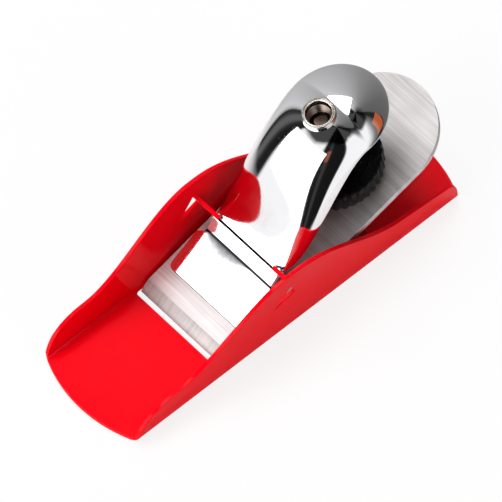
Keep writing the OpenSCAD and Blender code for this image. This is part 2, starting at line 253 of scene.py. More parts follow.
@dataclass(frozen=True)
class Thread:
    """The ridge of a screw thread about Z. A negative tooth makes an inside thread."""

    radius: float
    tooth: float
    base: float
    start: float
    stop: float
    steps: int = 36
    pitch: float = 0.8
    sunk: float = 0.06
    crest: float = 0.08

    def mesh(self) -> BMesh:
        """Builds the ridge.

        Returns:
            The ridge as a closed mesh.
        """
        bm = bmesh.new()
        root, tip = self.radius - math.copysign(self.sunk, self.tooth), self.radius + self.tooth
        verts = ring_of(bm, [(root, -self.base / 2), (tip, -self.crest * self.base),
                             (tip, self.crest * self.base), (root, self.base / 2)], filled=True)
        bmesh.ops.rotate(bm, verts=verts, cent=(0, 0, 0), matrix=Matrix.Rotation(RIGHT, 3, "X"))
        bmesh.ops.translate(bm, verts=verts, vec=(0, 0, self.start))
        count = round((self.stop - self.start) / self.pitch * self.steps)
        bmesh.ops.spin(bm, geom=bm.verts[:] + bm.edges[:] + bm.faces[:], cent=(0, 0, 0),
                       axis=(0, 0, 1), dvec=(0, 0, self.pitch / self.steps),
                       angle=2 * math.pi * count / self.steps, steps=count, use_merge=False)
        bmesh.ops.recalc_face_normals(bm, faces=bm.faces)
        return bm


@dataclass(frozen=True)
class Edging:
    """How the edges of a finished piece are rounded by its modifiers, in millimetres."""

    width: float
    segments: int
    limit: float
    wall: float = 0.0
    subdivisions: int = 0

    def apply(self, piece: Piece) -> None:
        """Adds the modifiers.

        Args:
            piece: The piece that gets them.
        """
        if self.wall > 0.0:
            sheet = piece.modifiers.new("Sheet", "SOLIDIFY")
            sheet.thickness = self.wall * MM
            sheet.offset = -1.0
            sheet.use_even_offset = True
        bevel = piece.modifiers.new("Edges", "BEVEL")
        bevel.width = self.width * MM
        bevel.segments = self.segments
        bevel.limit_method = "ANGLE"
        bevel.angle_limit = math.radians(self.limit)
        bevel.use_clamp_overlap = False
        bevel.harden_normals = self.subdivisions == 0
        if self.subdivisions:
            skin = piece.modifiers.new("Skin", "SUBSURF")
            skin.levels = skin.render_levels = self.subdivisions


# ------------------------------------------------
# Shader groups and finishes


class NodeWriter:
    """Adds nodes to a tree and links them."""

    def __init__(self, tree: Tree) -> None:
        """Keeps the tree that gets the nodes."""
        self.tree = tree

    def feed(self, target: Socket, value: object) -> None:
        """Links a socket to an input, or gives the input a plain value.

        Args:
            target: The input.
            value: A socket or a plain value.
        """
        if isinstance(value, Socket):
            self.tree.links.new(value, target)
        else:
            target.default_value = value

    def add(self, kind: str, sockets: dict | tuple = (), **settings: object) -> bpy.types.Node:
        """Adds one node.

        Args:
            kind: The node's type name, without the ShaderNode prefix.
            sockets: What its inputs get, in order or by name: sockets or plain values.
            settings: Properties to set on the node.

        Returns:
            The new node.
        """
        node = self.tree.nodes.new(kind if kind.startswith("Node") else "ShaderNode" + kind)
        node.location = (len(self.tree.nodes) * 180.0, 0.0)
        for key, value in settings.items():
            setattr(node, key, value)
        for key, value in sockets.items() if isinstance(sockets, dict) else enumerate(sockets):
            self.feed(node.inputs[key], value)
        return node

    def math(self, operation: str, *values: object) -> Socket:
        """Adds a math node on sockets or numbers and returns its result."""
        return self.add("Math", values, operation=operation).outputs[0]

    def mix(self, *values: Socket) -> Socket:
        """Returns a blend of two shaders, by a mask, the first shader and the second."""
        return self.add("MixShader", values).outputs[0]

    def noise(self, vector: Socket, scale: object, detail: float = 2.0,
              roughness: float = 0.5) -> Socket:
        """Adds a noise texture.

        Args:
            vector: Where it is read.
            scale: Its scale, as a socket or a number.
            detail: Its number of octaves.
            roughness: How strong the finer octaves are.

        Returns:
            The noise, from 0 to 1.
        """
        return self.add("TexNoise", {"Vector": vector, "Scale": scale, "Detail": detail,
                                     "Roughness": roughness}).outputs["Fac"]

    def remap(self, value: Socket, before: tuple = (0.0, 1.0), after: tuple = (0.0, 1.0),
              kind: str = "LINEAR") -> Socket:
        """Moves a value from one range to another.

        Args:
            value: The value.
            before: The range that it comes from.
            after: The range that it is moved to, as numbers or sockets.
            kind: How it is eased between the ends.

        Returns:
            The moved value, held to the new range.
        """
        ends = zip(("From Min", "From Max", "To Min", "To Max"), (*before, *after))
        return self.add("MapRange", {"Value": value, **dict(ends)},
                        interpolation_type=kind).outputs["Result"]


class Groups:
    """The shader groups that several finishes share, each built once."""

    def __init__(self) -> None:
        """Builds the groups."""
        self.grain = self._grain()
        self.mottle = self._mottle()
        self.specks = self._specks()
        self.scratches = self._scratches()
        self.wear = self._wear()
        self.crease_shade = self._crease_shade()

    @staticmethod
    def _start(name: str, outputs: tuple[str, ...],
               **inputs: float | None) -> tuple[NodeWriter, object, object]:
        """Starts a group.

        Args:
            name: The group's name.
            outputs: The names of its float outputs.
            inputs: Each input's default value, or None for a vector.

        Returns:
            The writer, what the group gets and what it puts out.
        """
        tree = bpy.data.node_groups.new(name, "ShaderNodeTree")
        for label, value in inputs.items():
            kind = "NodeSocketVector" if value is None else "NodeSocketFloat"
            socket = tree.interface.new_socket(label, in_out="INPUT", socket_type=kind)
            if value is not None:
                socket.default_value = value
        for label in outputs:
            tree.interface.new_socket(label, in_out="OUTPUT", socket_type="NodeSocketFloat")
        writer = NodeWriter(tree)
        return writer, writer.add("NodeGroupInput").outputs, writer.add("NodeGroupOutput").inputs

    def _grain(self) -> Tree:
        """Draws brushed or ground lines: a fine set over a coarse set.

        Returns:
            The group.
        """
        w, gin, gout = self._start("brushed_grain", ("Tone", "Height"), Vector=None,
                                   Direction=None, Lines=3000.0, Contrast=1.0)
        spread = w.add("VectorMath", (gin["Vector"], gin["Direction"]), operation="MULTIPLY")
        values = []
        for share, weight in ((1.0, 0.55), (0.22, 0.45)):
            scale = w.math("MULTIPLY", gin["Lines"], share)
            lines = w.add("VectorMath", {0: spread.outputs[0], "Scale": scale}, operation="SCALE")
            noise = w.noise(lines.outputs[0], 1.0, 4.0, 0.65)
            values.append(w.math("MULTIPLY", noise, weight))
        total = w.math("ADD", *values)
        centred = w.math("SUBTRACT", total, 0.5)
        w.feed(gout["Tone"], w.math("MULTIPLY_ADD", centred, gin["Contrast"], 0.5))
        w.feed(gout["Height"], total)
        return w.tree

    def _mottle(self) -> Tree:
        """Varies a value slowly over the surface, between two limits.

        Returns:
            The group.
        """
        w, gin, gout = self._start("slow_mottle", ("Value",), Vector=None, Scale=60.0, Low=0.0,
                                   High=1.0)
        noise = w.noise(gin["Vector"], gin["Scale"], 3.0, 0.55)
        w.feed(gout["Value"], w.remap(noise, (0.3, 0.7), (gin["Low"], gin["High"])))
        return w.tree

    def _specks(self) -> Tree:
        """Scatters small specks: dust in the enamel's roughness, and painted glints in the black
        moulding's colour.

        Returns:
            The group.
        """
        w, gin, gout = self._start("fine_specks", ("Mask",), Vector=None, Scale=1500.0, Size=0.12)
        cells = w.add("TexVoronoi", {"Vector": gin["Vector"], "Scale": gin["Scale"]}).outputs
        tone = w.add("SeparateColor", (cells["Color"],)).outputs
        size = w.math("MULTIPLY", tone[0], gin["Size"])
        inside = w.math("LESS_THAN", cells["Distance"], size)
        w.feed(gout["Mask"], w.math("MULTIPLY", inside, w.math("GREATER_THAN", tone[1], 0.72)))
        return w.tree

    def _scratches(self) -> Tree:
        """Draws hairline scratches in two directions.

        Returns:
            The group.
        """
        w, gin, gout = self._start("hairline_scratches", ("Mask",), Vector=None, Scale=90.0,
                                   Amount=0.5)
        lines = []
        for turn in (0.5, -0.9):
            place = w.add("Mapping", {"Vector": gin["Vector"], "Scale": (1.0, 26.0, 6.0),
                                      "Rotation": (0.3 * turn, 0.2, turn)})
            noise = w.noise(place.outputs[0], gin["Scale"], 1.0)
            off = w.math("ABSOLUTE", w.math("SUBTRACT", noise, 0.5))
            lines.append(w.math("LESS_THAN", off, 0.004))
        shown = w.math("GREATER_THAN", w.noise(gin["Vector"], 160.0), 0.52)
        kept = w.math("MULTIPLY", w.math("MAXIMUM", *lines), shown)
        w.feed(gout["Mask"], w.math("MULTIPLY", kept, gin["Amount"]))
        return w.tree

    def _wear(self) -> Tree:
        """Turns sharp outside edges into a broken wear mask.

        Returns:
            The group.
        """
        w, gin, gout = self._start("edge_wear", ("Mask",), Vector=None, Sharpness=0.5, Amount=0.5)
        sharp = w.remap(gin["Sharpness"], (0.54, 0.66))
        broken = w.math("MULTIPLY", sharp, w.noise(gin["Vector"], 900.0, 3.0))
        w.feed(gout["Mask"], w.math("MULTIPLY", broken, gin["Amount"]))
        return w.tree

    def _crease_shade(self) -> Tree:
        """Paints shade into a crease as a dark line, and a dark smear to one side of it.

        Returns:
            The group.
        """
        w, gin, gout = self._start("crease_painted_shade", ("Line", "Smear"), Vector=None, Along=None,
                                   Place=0.0, Width=0.0002, Reach=0.0, Middle=0.0, Span=0.01)
        # Painted shade: the line darkens the crease itself, and the smear reaches out in front of
        # it.
        run = w.add("VectorMath", (gin["Vector"], gin["Along"]), operation="DOT_PRODUCT")
        before = w.math("SUBTRACT", gin["Place"], run.outputs["Value"])
        off = w.math("DIVIDE", w.math("ABSOLUTE", before), gin["Width"])
        w.feed(gout["Line"], w.remap(off, (0.6, 1.2), (1.0, 0.0), "SMOOTHSTEP"))
        across = w.add("SeparateXYZ", (gin["Vector"],)).outputs["Y"]
        noise = w.noise(gin["Vector"], 900.0, 3.0)
        rough = w.math("MULTIPLY", w.math("ADD", noise, 0.5), gin["Reach"])
        beside = w.math("ABSOLUTE", w.math("SUBTRACT", across, gin["Middle"]))
        share = w.remap(w.math("DIVIDE", beside, gin["Span"]), after=(1.0, 0.04),
                        kind="SMOOTHSTEP")
        reach = w.math("MAXIMUM", w.math("MULTIPLY", rough, share), 1e-6)
        near = w.remap(w.math("DIVIDE", before, reach), after=(1.0, 0.0))
        inside = w.math("GREATER_THAN", before, 0.0)
        w.feed(gout["Smear"], w.math("MULTIPLY", w.math("POWER", near, 0.5), inside))
        return w.tree


class Dresser(NodeWriter):
    """Writes one material: a Principled shader and the groups that feed it."""

    def __init__(self, name: str, groups: Groups) -> None:
        """Starts a material.

        Args:
            name: The material's name.
            groups: The shared shader groups.
        """
        self.material = bpy.data.materials.new(name)
        self.material.use_nodes = True
        super().__init__(self.material.node_tree)
        self.groups = groups
        self.shader = next(n for n in self.tree.nodes if n.type == "BSDF_PRINCIPLED")
        self.place = self.add("TexCoord").outputs["Object"]

    def shade(self, **values: object) -> None:
        """Sets or links the shader's sockets, by name."""
        for key, value in values.items():
            self.feed(self.shader.inputs[key.replace("_", " ")], value)

    def group(self, tree: Tree, **values: object) -> object:
        """Places a group on the object's own coordinates.

        Args:
            tree: The group.
            values: Its inputs, as numbers or sockets.

        Returns:
            What the group puts out.
        """
        return self.add("Group", {"Vector": self.place, **values}, node_tree=tree).outputs

    def mottle(self, scale: float, low: float, high: float) -> Socket:
        """Returns a value that varies slowly over the surface, between two limits."""
        return self.group(self.groups.mottle, Scale=scale, Low=low, High=high)[0]

    def worn(self, amount: float) -> Socket:
        """Returns a mask of the worn outside edges."""
        sharp = self.add("NewGeometry").outputs["Pointiness"]
        return self.group(self.groups.wear, Sharpness=sharp, Amount=amount)[0]

    def blend(self, mask: Socket, first: object, second: object) -> Socket:
        """Mixes two colours.

        Args:
            mask: How much of the second colour shows.
            first: A colour or a socket.
            second: A colour or a socket.

        Returns:
            The mixed colour.
        """
        pair = [v if isinstance(v, Socket) else (*v, 1.0) for v in (first, second)]
        return self.add("Mix", {0: mask, 6: pair[0], 7: pair[1]}, data_type="RGBA",
                        clamp_factor=True).outputs[2]

    def bump(self, height: Socket, depth: float, strength: float) -> None:
        """Adds relief.

        Args:
            height: The relief's height, from 0 to 1.
            depth: The depth of the relief, in millimetres.
            strength: How strongly it shows.
        """
        node = self.add("Bump", {"Distance": depth * MM, "Strength": strength, "Height": height})
        self.shade(Normal=node.outputs[0])


@dataclass(frozen=True)
class Finish:
    """A finish, which makes one material."""

    name: str

    def make(self, groups: Groups) -> Material:
        """Makes the material.

        Args:
            groups: The shared shader groups.

        Returns:
            The material.
        """
        d = Dresser(self.name, groups)
        self.dress(d)
        return d.material

    def dress(self, d: Dresser) -> None:
        """Writes the finish's own nodes, which each finish does in its own way."""
        raise NotImplementedError


@dataclass(frozen=True)
class Enamel(Finish):
    """Glossy enamel, sprayed on steel, with a faint orange peel and dust under the gloss."""

    name: str = "red_enamel"
    colour: Colour = (0.87, 0.0008, 0.009)
    deep: Colour = (0.81, 0.0005, 0.006)
    roughness: tuple[float, float] = (0.07, 0.12)
    worn: Colour = (0.92, 0.01, 0.018)

    def dress(self, d: Dresser) -> None:
        """Writes the finish's nodes.

        Args:
            d: The writer of the material.
        """
        base = d.blend(d.mottle(55.0, 0.0, 0.35), self.colour, self.deep)
        dust = d.group(d.groups.specks, Scale=700.0, Size=0.10)[0]
        rough = d.math("MULTIPLY_ADD", dust, 0.15, d.mottle(38.0, *self.roughness))
        d.shade(Specular_IOR_Level=0.09, Base_Color=d.blend(d.worn(0.5), base, self.worn),
                Roughness=rough)
        d.bump(d.mottle(520.0, 0.0, 1.0), 0.03, 0.04)


@dataclass(frozen=True)
class Crease:
    """A painted line of shade across the lever cap, by its place in the iron's axes and its width.
    """

    s: float
    h: float
    width: float
    smear: float = 0.0


@dataclass(frozen=True)
class BrightPlate(Finish):
    """Bright plating on pressed steel, with wipe marks, hairline scratches and painted shade in its
    creases.
    """

    name: str = "bright_plate"
    colour: Colour = (0.86, 0.86, 0.875)
    dull: Colour = (0.74, 0.74, 0.76)
    worn: Colour = (0.95, 0.94, 0.93)
    # Near-black colour of the shade painted into the creases.
    crease_shade: Colour = (0.012, 0.012, 0.014)
    creases: tuple[Crease, ...] = (Crease(16.9, 3.7, 0.28, 3.4), Crease(19.8, 5.5, 0.24),
                                   Crease(6.9, 0.95, 0.16))
    smear_middle: float = 3.4
    smear_span: float = 8.0

    def dress(self, d: Dresser) -> None:
        """Writes the finish's nodes.

        Args:
            d: The writer of the material.
        """
        base = d.blend(d.mottle(70.0, 0.0, 0.4), self.colour, self.dull)
        base = d.blend(d.worn(0.3), base, self.worn)
        axes = IronAxes().matrix()
        along = axes.to_3x3() @ Vector((1.0, 0.0, 0.0))
        # Painted shade: a near-black line along each crease, and a dark smear in front of the
        # first.
        for crease in self.creases:
            place = (axes @ Vector((crease.s, 0.0, crease.h))).dot(along)
            marks = d.group(d.groups.crease_shade, Along=along, Place=place * MM, Width=crease.width * MM,
                            Reach=crease.smear * MM, Middle=self.smear_middle * MM,
                            Span=self.smear_span * MM)
            base = d.blend(marks["Line"], base, self.crease_shade)
            if crease.smear:
                base = d.blend(marks["Smear"], base, self.crease_shade)
        lines = d.group(d.groups.scratches, Scale=120.0, Amount=0.35)[0]
        d.shade(Metallic=1.0, Base_Color=base,
                Roughness=d.math("MULTIPLY_ADD", lines, 0.22, d.mottle(45.0, 0.035, 0.09)))
        d.bump(d.mottle(160.0, 0.0, 1.0), 0.01, 0.05)


@dataclass(frozen=True)
class WorkedSteel(Finish):
    """Steel brushed or ground in one direction."""

    grain: Grain
    colour: Colour = (0.84, 0.81, 0.815)
    dark: Colour = (0.42, 0.40, 0.40)
    lines: float = 2600.0
    contrast: float = 2.6
    roughness: tuple[float, float] = (0.34, 0.50)
    relief: float = 0.25
    metallic: float = 0.62
    worn: Colour = (0.85, 0.84, 0.83)

    def dress(self, d: Dresser) -> None:
        """Writes the finish's nodes.

        Args:
            d: The writer of the material.
        """
        grain = d.group(d.groups.grain, Direction=self.grain.value, Lines=self.lines,
                        Contrast=self.contrast)
        base = d.blend(grain["Tone"], self.dark, self.colour)
        base = d.blend(d.mottle(90.0, 0.0, 0.18), base, self.dark)
        d.shade(Metallic=self.metallic, Base_Color=d.blend(d.worn(0.6), base, self.worn),
                Roughness=d.mottle(50.0, *self.roughness))
        d.bump(grain["Height"], 0.02, self.relief)


@dataclass(frozen=True)
class TurnedMetal(Finish):
    """Small turned metal, with oily stains in random patches."""

    colour: Colour
    stain: Colour
    roughness: tuple[float, float] = (0.12, 0.28)

    def dress(self, d: Dresser) -> None:
        """Writes the finish's nodes.

        Args:
            d: The writer of the material.
        """
        oil = d.mottle(420.0, 0.0, 0.8)
        lines = d.group(d.groups.scratches, Scale=300.0, Amount=0.5)[0]
        rough = d.math("MULTIPLY_ADD", lines, 0.2, d.mottle(260.0, *self.roughness))
        d.shade(Metallic=1.0, Base_Color=d.blend(oil, self.colour, self.stain), Roughness=rough)
        d.bump(oil, 0.02, 0.15)


@dataclass(frozen=True)
class BlackMoulding(Finish):
    """Black moulded plastic, satin with a pebbled skin, rubbed edges and pale specks painted on as
    glints.
    """

    name: str = "black_moulding"
    colour: Colour = (0.004, 0.004, 0.005)
    rubbed: Colour = (0.012, 0.012, 0.013)
    glint_colour: Colour = (0.03, 0.03, 0.032)

    def dress(self, d: Dresser) -> None:
        """Writes the finish's nodes.

        Args:
            d: The writer of the material.
        """
        # Painted glints: small pale specks in the colour stand in for tiny highlights.
        specks = d.group(d.groups.specks, Scale=1400.0, Size=0.30)[0]
        base = d.blend(d.worn(0.9), self.colour, self.rubbed)
        d.shade(Specular_IOR_Level=0.05, Base_Color=d.blend(specks, base, self.glint_colour),
                Roughness=d.mottle(420.0, 0.10, 0.30))
        d.bump(d.mottle(900.0, 0.0, 1.0), 0.05, 0.35)


@dataclass
class Finishes:
    """All the finishes of the plane, made once."""

    groups: Groups = field(default_factory=Groups)

    def __post_init__(self) -> None:
        """Makes the materials."""
        g = self.groups
        self.enamel = Enamel().make(g)
        # A much darker copy of the body's red enamel for the bed: painted shade for the dark inside
        # of the body.
        self.shaded_enamel = Enamel("bed_enamel", (0.34, 0.002, 0.005), (0.26, 0.001, 0.004),
                                   (0.30, 0.42)).make(g)
        self.plate = BrightPlate().make(g)
        self.iron = WorkedSteel("iron_brushed", Grain.ACROSS).make(g)
        self.bevel = WorkedSteel("iron_ground", Grain.ALONG, (0.50, 0.48, 0.47),
                                 (0.27, 0.26, 0.255), 5200.0, 3.0, (0.40, 0.52), 0.3).make(g)
        self.nickel = TurnedMetal("nickel_ring", (0.72, 0.69, 0.66), (0.5, 0.46, 0.42),
                                  (0.08, 0.18)).make(g)
        # Brass darkened far below its own colour: painted shade for the inside of the bore.
        self.shaded_brass = TurnedMetal("brass_painted_shade", (0.10, 0.05, 0.032), (0.035, 0.018, 0.014),
                                 (0.22, 0.4)).make(g)
        self.flight = TurnedMetal("bush_flight", (0.36, 0.30, 0.25), (0.16, 0.12, 0.10),
                                  (0.24, 0.4)).make(g)
        # Steel painted near black: painted shade where the screw's top shows at the foot of the
        # bore.
        self.screw = TurnedMetal("screw_steel", (0.08, 0.052, 0.042), (0.04, 0.026, 0.021)).make(g)
        self.rivet = TurnedMetal("rivet_steel", (0.66, 0.65, 0.64), (0.44, 0.42, 0.41)).make(g)
        self.black = BlackMoulding().make(g)


# ------------------------------------------------
# The plane's sub-assemblies


def finish_piece(bm: BMesh, name: str, body: str, materials: list[Material],
                 replaces: tuple[str, ...] = (), edging: Edging | None = None,
                 crease: float = 40.0) -> None:
    """Turns a mesh in millimetres into a piece of the plane.

    Args:
        bm: The mesh, which is freed.
        name: The piece's name.
        body: The body that it rides on.
        materials: Its materials, in the order of its faces' indices.
        replaces: The frame's nodes that it stands for.
        edging: The modifiers that round its edges.
        crease: Without them, the angle above which an edge stays sharp, in degrees.
    """
    bmesh.ops.scale(bm, vec=(MM, MM, MM), verts=bm.verts)
    piece = object_of(bm, name, materials)
    for face in piece.data.polygons:
        face.use_smooth = True
    if edging is None:
        piece.data.set_sharp_from_angle(angle=math.radians(crease))
    else:
        edging.apply(piece)
    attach(piece, body)
    if replaces:
        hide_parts(*replaces)
    log.info("%s: %d faces on %s", name, len(piece.data.polygons), body)


@dataclass
class PressedBody:
    """The pressed steel body: flat sole, two curved walls, mouth, and a lanced tab in each wall."""

    toe_x: float = -41.55
    sole_l: float = 83.1
    sole_w: float = 26.7
    end_bulge: float = 3.05
    sheet: float = 0.9
    bend_r: float = 0.8
    flare: float = math.radians(4)
    toe_wall_h: float = 7.4
    toe_curve_l: float = 8.0
    toe_guide: Point2 = (0.15, 0.85)
    toe_slope: float = 0.06
    peak_h: float = 19.8
    peak_x: float = 39.2
    peak_flat: float = 0.8
    rise_x: float = 11.0
    fall_x: float = 67.0
    heel_wall_h: float = 6.9
    heel_curve_l: float = 3.0
    heel_guide: float = 0.2
    heel_slope: float = 0.12
    mouth: tuple[float, float] = (22.1, 28.07)
    mouth_w: float = 24.62
    mouth_corner: float = 0.9
    tab_foot: Point2 = (39.67, 13.036)
    tab_lean: float = math.radians(24)
    tab_dip: float = 0.3
    tab_root: float = 2.95
    tab_hole: float = 5.6
    tab_tip_y: float = 7.66
    tab_tip: float = 0.5
    end_steps: int = 14
    toe_steps: int = 24
    wall_steps: int = 90
    heel_steps: int = 16
    bend_steps: int = 10

    def __post_init__(self) -> None:
        """Works out the bends' sizes."""
        self.half_w = self.sole_w / 2
        self.outer_r = self.bend_r + self.sheet
        self.sweep = RIGHT - self.flare
        self.flat = self.half_w - self.outer_r * math.tan(self.sweep / 2)
        self.wall_start = self.flat + self.outer_r * self.sweep
        self.end_r = (self.half_w ** 2 + self.end_bulge ** 2) / (2 * self.end_bulge)
        self.bend_top = self.outer_r * (1 - math.sin(self.flare))

    def across(self, height: float) -> float:
        """Finds where a height on the wall lies on the flat blank.

        Args:
            height: The height above the sole's underside.

        Returns:
            The distance across the blank, from its middle.
        """
        if height <= self.bend_top:
            return self.flat + self.outer_r * math.acos(1 - height / self.outer_r)
        return self.wall_start + (height - self.bend_top) / math.cos(self.flare)

    def folded(self, x: float, run: float, depth: float = 0.0) -> Vector:
        """Folds a point of the flat blank.

        Args:
            x: Distance along the body, from the toe corners.
            run: Signed distance across the blank, from its middle.
            depth: Distance in from the outer skin.

        Returns:
            The point on the folded body.
        """
        far = abs(run)
        if far <= self.flat:
            return Vector((self.toe_x + x, run, depth))
        turn = min((far - self.flat) / self.outer_r, self.sweep)
        r = self.outer_r - depth
        rest = max(far - self.wall_start, 0.0)
        y = self.flat + r * math.sin(turn) + rest * math.sin(self.flare)
        z = self.outer_r - r * math.cos(turn) + rest * math.cos(self.flare)
        return Vector((self.toe_x + x, math.copysign(y, run), z))

    def wall_height(self, x: float) -> float:
        """Finds the height of the walls.

        Args:
            x: Distance along the body, from the toe corners.

        Returns:
            The height above the sole's underside.
        """
        toe = self.toe_wall_h + self.toe_slope * (x - self.toe_curve_l)
        heel = self.heel_wall_h + self.heel_slope * (self.sole_l - self.heel_curve_l - x)
        if x < self.peak_x:
            share = (x - self.rise_x) / (self.peak_x - self.peak_flat - self.rise_x)
            return toe + (self.peak_h - toe) * smooth(share)
        share = (x - self.peak_x - self.peak_flat) / (self.fall_x - self.peak_x - self.peak_flat)
        return self.peak_h - (self.peak_h - heel) * smooth(share)

    def half_outline(self) -> list[Point2]:
        """Draws one half of the blank's outline, from the middle of the toe to the heel's.

        Returns:
            The outline's points.
        """
        ends = []
        for i in range(self.end_steps):
            run = self.across(self.sheet) * i / self.end_steps
            y = min(self.folded(0, run).y, self.half_w)
            ends.append((self.end_bulge - self.end_r + math.sqrt(self.end_r ** 2 - y ** 2), run))
        lead, rise = self.toe_guide
        toe = [Vector((0, self.sheet)), Vector((lead * self.toe_curve_l, rise * self.toe_wall_h)),
               Vector((self.toe_curve_l, self.toe_wall_h))]
        heel_x = self.sole_l - self.heel_curve_l
        heel = [Vector((heel_x, self.wall_height(heel_x))),
                Vector((self.sole_l - self.heel_guide * self.heel_curve_l, self.heel_wall_h)),
                Vector((self.sole_l, self.sheet))]
        length = heel_x - self.toe_curve_l
        xs = [self.toe_curve_l + length * i / self.wall_steps for i in range(1, self.wall_steps)]
        top = (curve(toe, self.toe_steps) + [Vector((x, self.wall_height(x))) for x in xs]
               + curve(heel, self.heel_steps))
        return ([(-bulge, run) for bulge, run in ends]
                + [(p.x, self.across(p.y)) for p in top]
                + [(self.sole_l + bulge, run) for bulge, run in reversed(ends)])

    def mouth_outline(self) -> list[Point2]:
        """Draws the mouth, with round corners.

        Returns:
            The outline's points.
        """
        r = self.mouth_corner
        x0, x1 = self.mouth[0] + r, self.mouth[1] - r
        y = self.mouth_w / 2 - r
        out: list[Point2] = []
        for cx, cy, start in ((x1, y, 0), (x0, y, 90), (x0, -y, 180), (x1, -y, 270)):
            turns = [math.radians(start + step) for step in range(0, 91, 15)]
            out += [(cx + r * math.cos(turn), cy + r * math.sin(turn)) for turn in turns]
        return out

    def tab_hole_outline(self, side: Side) -> list[Point2]:
        """Draws the triangular hole in one wall, on the flat blank.

        Args:
            side: The wall.

        Returns:
            The outline's points.
        """
        foot = Vector(self.tab_foot)
        up = Vector((-math.sin(self.tab_lean), math.cos(self.tab_lean)))
        front = Vector((-math.cos(self.tab_lean), -math.sin(self.tab_lean)))
        corners = [foot + up * (self.tab_root - self.tab_dip), foot - up * self.tab_dip,
                   foot + up * (self.tab_tip / 2) + front * self.tab_hole]
        return [(p.x, side.value * self.across(p.y)) for p in corners]

    def build(self, finishes: Finishes) -> None:
        """Builds the body and its two tabs, and dresses them.

        Args:
            finishes: The plane's finishes.
        """
        bm = bmesh.new()
        half = self.half_outline()
        ring_of(bm, half + [(x, -run) for x, run in reversed(half[1:-1])])
        ring_of(bm, self.mouth_outline())
        for side in Side:
            ring_of(bm, self.tab_hole_outline(side))
        bmesh.ops.triangle_fill(bm, edges=bm.edges[:], use_beauty=True, normal=(0, 0, 1))
        for i in range(self.bend_steps + 1):
            line = self.flat + self.outer_r * self.sweep * i / self.bend_steps
            for side in Side:
                bmesh.ops.bisect_plane(bm, geom=bm.verts[:] + bm.edges[:] + bm.faces[:],
                                       dist=1e-5, plane_co=(0, side.value * line, 0),
                                       plane_no=(0, 1, 0))
        thicken(bm, self.sheet)
        for vert in bm.verts:
            vert.co = self.folded(*vert.co)
        bmesh.ops.dissolve_limit(bm, angle_limit=math.radians(0.4), verts=bm.verts[:],
                                 edges=bm.edges[:], use_dissolve_boundaries=False)
        bmesh.ops.recalc_face_normals(bm, faces=bm.faces)
        finish_piece(bm, "body_sheet", "body", [finishes.enamel], ("body_shell",),
                     Edging(0.18, 3, 50))
        for side in Side:
            self.build_tab(side, finishes)

    def build_tab(self, side: Side, finishes: Finishes) -> None:
        """Builds one lanced tab, which reaches in from the wall over the lever cap's ridge.

        Args:
            side: The wall that it is cut from.
            finishes: The plane's finishes.
        """
        lean = math.tan(self.flare)
        root_y = self.half_w - self.sheet / 2 + (self.tab_foot[1] - self.tab_dip) * lean
        points = [(self.tab_tip_y, 0.0), (root_y, -self.tab_dip),
                  (root_y + self.tab_root * lean, self.tab_root - self.tab_dip),
                  (self.tab_tip_y, self.tab_tip)]
        bm = bmesh.new()
        ring_of(bm, [(side.value * y, z) for y, z in points], filled=True)
        thicken(bm, self.sheet)
        bmesh.ops.recalc_face_normals(bm, faces=bm.faces)
        upright = Matrix(((0, 0, 1), (1, 0, 0), (0, 1, 0))).to_4x4()
        place = Matrix.Translation((self.toe_x + self.tab_foot[0], 0.0, self.tab_foot[1]))
        turn = Matrix.Rotation(-self.tab_lean, 4, "Y")
        bmesh.ops.transform(bm, matrix=place @ turn @ upright, verts=bm.verts)
        finish_piece(bm, f"tab_{side.name.lower()}", "body", [finishes.enamel], (),
                     Edging(0.12, 2, 30))


@dataclass
class Iron:
    """The iron: a flat blade with a ground bevel and a round rear end."""

    axes: IronAxes
    length: float = 65.8
    width: float = 24.32
    bevel: float = math.radians(30)
    end_steps: int = 48

    def build(self, finishes: Finishes) -> None:
        """Builds the iron and dresses its faces.

        Args:
            finishes: The plane's finishes.
        """
        bm = bmesh.new()
        half = self.width / 2
        turns = [math.pi * (i / self.end_steps - 0.5) for i in range(self.end_steps + 1)]
        ends = [(self.length - half + half * math.cos(a), half * math.sin(a)) for a in turns]
        ring_of(bm, [(0.0, half), (0.0, -half)] + ends, filled=True)
        bmesh.ops.translate(bm, verts=bm.verts, vec=(0, 0, -self.axes.thickness))
        for vert in thicken(bm, self.axes.thickness):
            vert.co.x = max(vert.co.x, self.axes.thickness / math.tan(self.bevel))
        bmesh.ops.remove_doubles(bm, verts=bm.verts, dist=1e-4)
        bmesh.ops.recalc_face_normals(bm, faces=bm.faces)
        for face in bm.faces:
            face.material_index = int(face.normal.x < -math.sin(self.bevel) / 2)
        bmesh.ops.transform(bm, matrix=self.axes.matrix(), verts=bm.verts)
        finish_piece(bm, "iron_blade", "iron", [finishes.iron, finishes.bevel],
                     ("blade",), Edging(0.07, 2, 50))


